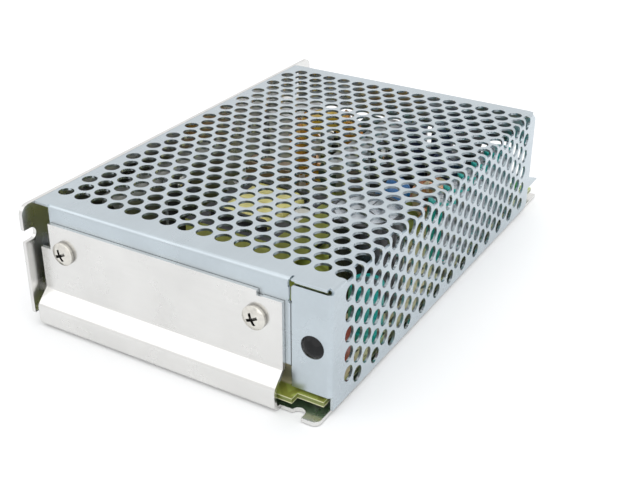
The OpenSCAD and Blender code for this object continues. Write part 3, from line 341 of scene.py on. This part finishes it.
# Finishes and the nodes that carry them
def make_materials():
    board_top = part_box("pcb")[1].z
    small_tops = [board_top + height * MM for height in SMALL_HEIGHTS]
    return {
        "zinc": sheet_metal("zinc_sheet", (0.53, 0.59, 0.63), (0.24, 0.34), COVER_GRAIN, FOLD_EDGE),
        "satin": sheet_metal("satin_sheet", (0.745, 0.74, 0.725), (0.20, 0.30), CHASSIS_GRAIN, FOLD_EDGE,
                             inner_rough=0.24),
        "nickel": bright_metal("nickel", (0.70, 0.68, 0.63), 0.16, reach=2.2 * MM),
        "tin": bright_metal("tinned", (0.66, 0.67, 0.67), 0.30),
        "aluminium": sheet_metal("sink_plate", (0.52, 0.53, 0.53), (0.30, 0.42), SINK_GRAIN, SINK_EDGE),
        # Primary heatsink: the same sink metal at a darker colour, which is painted shade
        "sink_plate_painted_shade": sheet_metal("sink_plate_painted_shade", (0.30, 0.30, 0.28), (0.40, 0.52), SINK_GRAIN, SINK_EDGE),
        "black": moulded("black_gloss", (0.010, 0.010, 0.011), 0.14, shine=0.22),
        "terminal": moulded("terminal_black", (0.022, 0.022, 0.024), 0.42),
        "bobbin": moulded("bobbin_black", (0.03, 0.03, 0.03), 0.45),
        "package": moulded("package_black", (0.035, 0.035, 0.037), 0.5, scale=900.0),
        "ivory": moulded("ivory_nylon", (0.70, 0.66, 0.55), 0.42),
        "white": moulded("white_nylon", (0.78, 0.78, 0.75), 0.42),
        "grey": moulded("grey_box", (0.94, 0.95, 0.95), 0.35),
        "brown": moulded("brown_dip", (0.30, 0.20, 0.11), 0.35, coat=0.3),
        "red": moulded("red_dip", (0.34, 0.06, 0.03), 0.3, coat=0.4),
        "blue": moulded("blue_dip", (0.03, 0.17, 0.45), 0.28, coat=0.5),
        "dark_dip": moulded("dark_dip", (0.05, 0.08, 0.06), 0.5),
        "resistor": moulded("resistor_coat", (0.25, 0.45, 0.52), 0.4),
        "lamp": moulded("lamp_green", (0.06, 0.42, 0.08), 0.12, coat=0.5),
        "pad": moulded("pad_grey", (0.45, 0.47, 0.50), 0.6),
        "film": moulded("insulating_film", (0.74, 0.72, 0.62), 0.4, spread=0.05),
        "glass": moulded("fuse_tube", (0.70, 0.72, 0.70), 0.12, coat=0.8),
        "ferrite": moulded("ferrite", FERRITE, 0.55, spread=0.2, scale=1200.0),
        "ring": moulded("ring_paint", (0.78, 0.68, 0.46), 0.4),
        "choke_ring": moulded("choke_paint", (0.76, 0.50, 0.06), 0.35, coat=0.3),
        "copper": enamelled("choke_wire", (0.88, 0.42, 0.08), metal=0.45),
        "ring_wire": enamelled("ring_wire", (0.85, 0.43, 0.26)),
        "tape": taped("yellow_tape"),
        "taped_core": taped_core("taped_core"),
        "board": laminate("board_lacquer"),
        "black_bulk": sleeved("sleeve_bulk", (0.02, 0.02, 0.022), [top_of("bulk_capacitor")]),
        "teal_output": sleeved("sleeve_output", TEAL, [top_of("output_capacitors")], striped=True),
        "teal_near": sleeved("sleeve_near", TEAL, [top_of("near_capacitor")]),
        "dark_small": sleeved("sleeve_small", (0.03, 0.04, 0.09), small_tops),
    }


TERMINALS = range(1, 8)
TERMINAL_SCREWS = [f"terminal_screw_{i}" for i in TERMINALS]
TERMINAL_CLAMPS = [f"terminal_clamp_{i}" for i in TERMINALS]
FINISHES = {
    "zinc": ["cover"],
    "satin": ["chassis"],
    "nickel": ["cover_screws", "pcb_screws", "heatsink_screws", "pcb_standoffs", *TERMINAL_SCREWS],
    "tin": ["earth_bracket", "terminal_contacts", "fuse_clips", *TERMINAL_CLAMPS],
    "aluminium": ["secondary_heatsink"],
    "sink_plate_painted_shade": ["primary_heatsink"],
    "black": ["snap_rivet"],
    "terminal": ["terminal_block"],
    "bobbin": ["transformer_bobbin"],
    "package": ["bridge_rectifier", "switch_transistor", "output_diodes", "controller", "rectifier_diodes"],
    "ivory": ["line_choke_stand"],
    "white": ["optocoupler", "trimmer_rotor"],
    "grey": ["box_capacitor"],
    "brown": ["film_capacitor"],
    "red": ["snubber_capacitor"],
    "blue": ["disc_capacitors", "trimmer_body"],
    "dark_dip": ["thermistor", "varistor"],
    "resistor": ["resistors"],
    "lamp": ["indicator_lamp"],
    "pad": ["insulating_pads"],
    "film": ["insulation_sheet"],
    "glass": ["fuse"],
    "ferrite": ["drum_choke"],
    "taped_core": ["transformer_core"],
    "ring": ["ring_choke_core"],
    "choke_ring": ["line_choke_core"],
    "copper": ["line_choke_windings"],
    "ring_wire": ["ring_choke_winding"],
    "tape": ["transformer_winding"],
    "board": ["pcb"],
    "black_bulk": ["bulk_capacitor"],
    "teal_output": ["output_capacitors"],
    "teal_near": ["near_capacitor"],
    "dark_small": ["small_capacitors"],
}


def dress(materials):
    for finish, nodes in FINISHES.items():
        for node in nodes:
            data = NODES[node].data
            data.materials.clear()
            data.materials.append(materials[finish])


# Floor, light and white surroundings
FLOOR_SIDE = 3.0
FLOOR_Z = -0.2 * MM
FLOOR_COLOR = (0.80, 0.80, 0.80)
GLOW_FROM = (-0.15, 0.10)
GLOW_TO = (0.30, 0.35)
SKY_COLOR = (0.97, 0.985, 1.0)
AMBIENT = 0.88
WHITE = (1.0, 1.0, 1.0)
LAMP_AIM = Vector((0.0, 0.0, 0.02))
LAMPS = {
    "key": {"at": Vector((0.26, -0.44, 0.46)), "size": 1.0, "power": 1.4},
    "fill": {"at": Vector((-0.50, -0.45, 0.55)), "size": 0.6, "power": 0.5},
    "top": {"at": Vector((0.05, 0.02, 0.60)), "size": 0.8, "power": 0.8},
}


def white_rays(tree):
    """Share of a ray that shows the white surroundings: camera, glossy and transmission rays."""
    rays = tree.nodes.new("ShaderNodeLightPath")
    seen = rays.outputs["Is Camera Ray"]
    for kind in ("Is Glossy Ray", "Is Transmission Ray"):
        either = tree.nodes.new("ShaderNodeMath")
        either.operation = "MAXIMUM"
        tree.links.new(seen, either.inputs[0])
        tree.links.new(rays.outputs[kind], either.inputs[1])
        seen = either.outputs[0]
    return seen


def add_floor():
    bpy.ops.mesh.primitive_plane_add(size=FLOOR_SIDE, location=(0.0, 0.0, FLOOR_Z))
    floor = bpy.context.object
    floor.name = "floor"
    g = Graph("floor_white", FLOOR_COLOR, 0.7)
    g.set("Emission Color", WHITE)
    glow = g.ramp(g.axis("Y"), GLOW_FROM[0], GLOW_TO[0], GLOW_FROM[1], GLOW_TO[1])
    g.set("Emission Strength", g.math("MULTIPLY", white_rays(g.tree), glow))
    g.set("Base Color", g.mottle(FLOOR_COLOR, 0.01, 8.0))
    floor.data.materials.append(g.material)


def add_lamps():
    for name, spec in LAMPS.items():
        data = bpy.data.lights.new(name, "AREA")
        data.shape = "DISK"
        data.size = spec["size"]
        data.energy = spec["power"]
        lamp = bpy.data.objects.new(name, data)
        lamp.location = spec["at"]
        lamp.rotation_euler = (LAMP_AIM - spec["at"]).to_track_quat("-Z", "Y").to_euler()
        scene.collection.objects.link(lamp)


def add_background(tree, color, strength):
    background = tree.nodes.new("ShaderNodeBackground")
    background.inputs["Color"].default_value = (*color, 1.0)
    background.inputs["Strength"].default_value = strength
    return background.outputs[0]


def add_world():
    world = bpy.data.worlds.new("studio")
    world.use_nodes = True
    tree = world.node_tree
    tree.nodes.clear()
    out = tree.nodes.new("ShaderNodeOutputWorld")
    mixer = tree.nodes.new("ShaderNodeMixShader")
    tree.links.new(white_rays(tree), mixer.inputs[0])
    tree.links.new(add_background(tree, SKY_COLOR, AMBIENT), mixer.inputs[1])
    tree.links.new(add_background(tree, WHITE, 1.0), mixer.inputs[2])
    tree.links.new(mixer.outputs[0], out.inputs[0])
    scene.world = world


def main():
    add_camera()
    dress(make_materials())
    add_floor()
    add_lamps()
    add_world()
    scene.view_settings.view_transform = "Standard"


main()
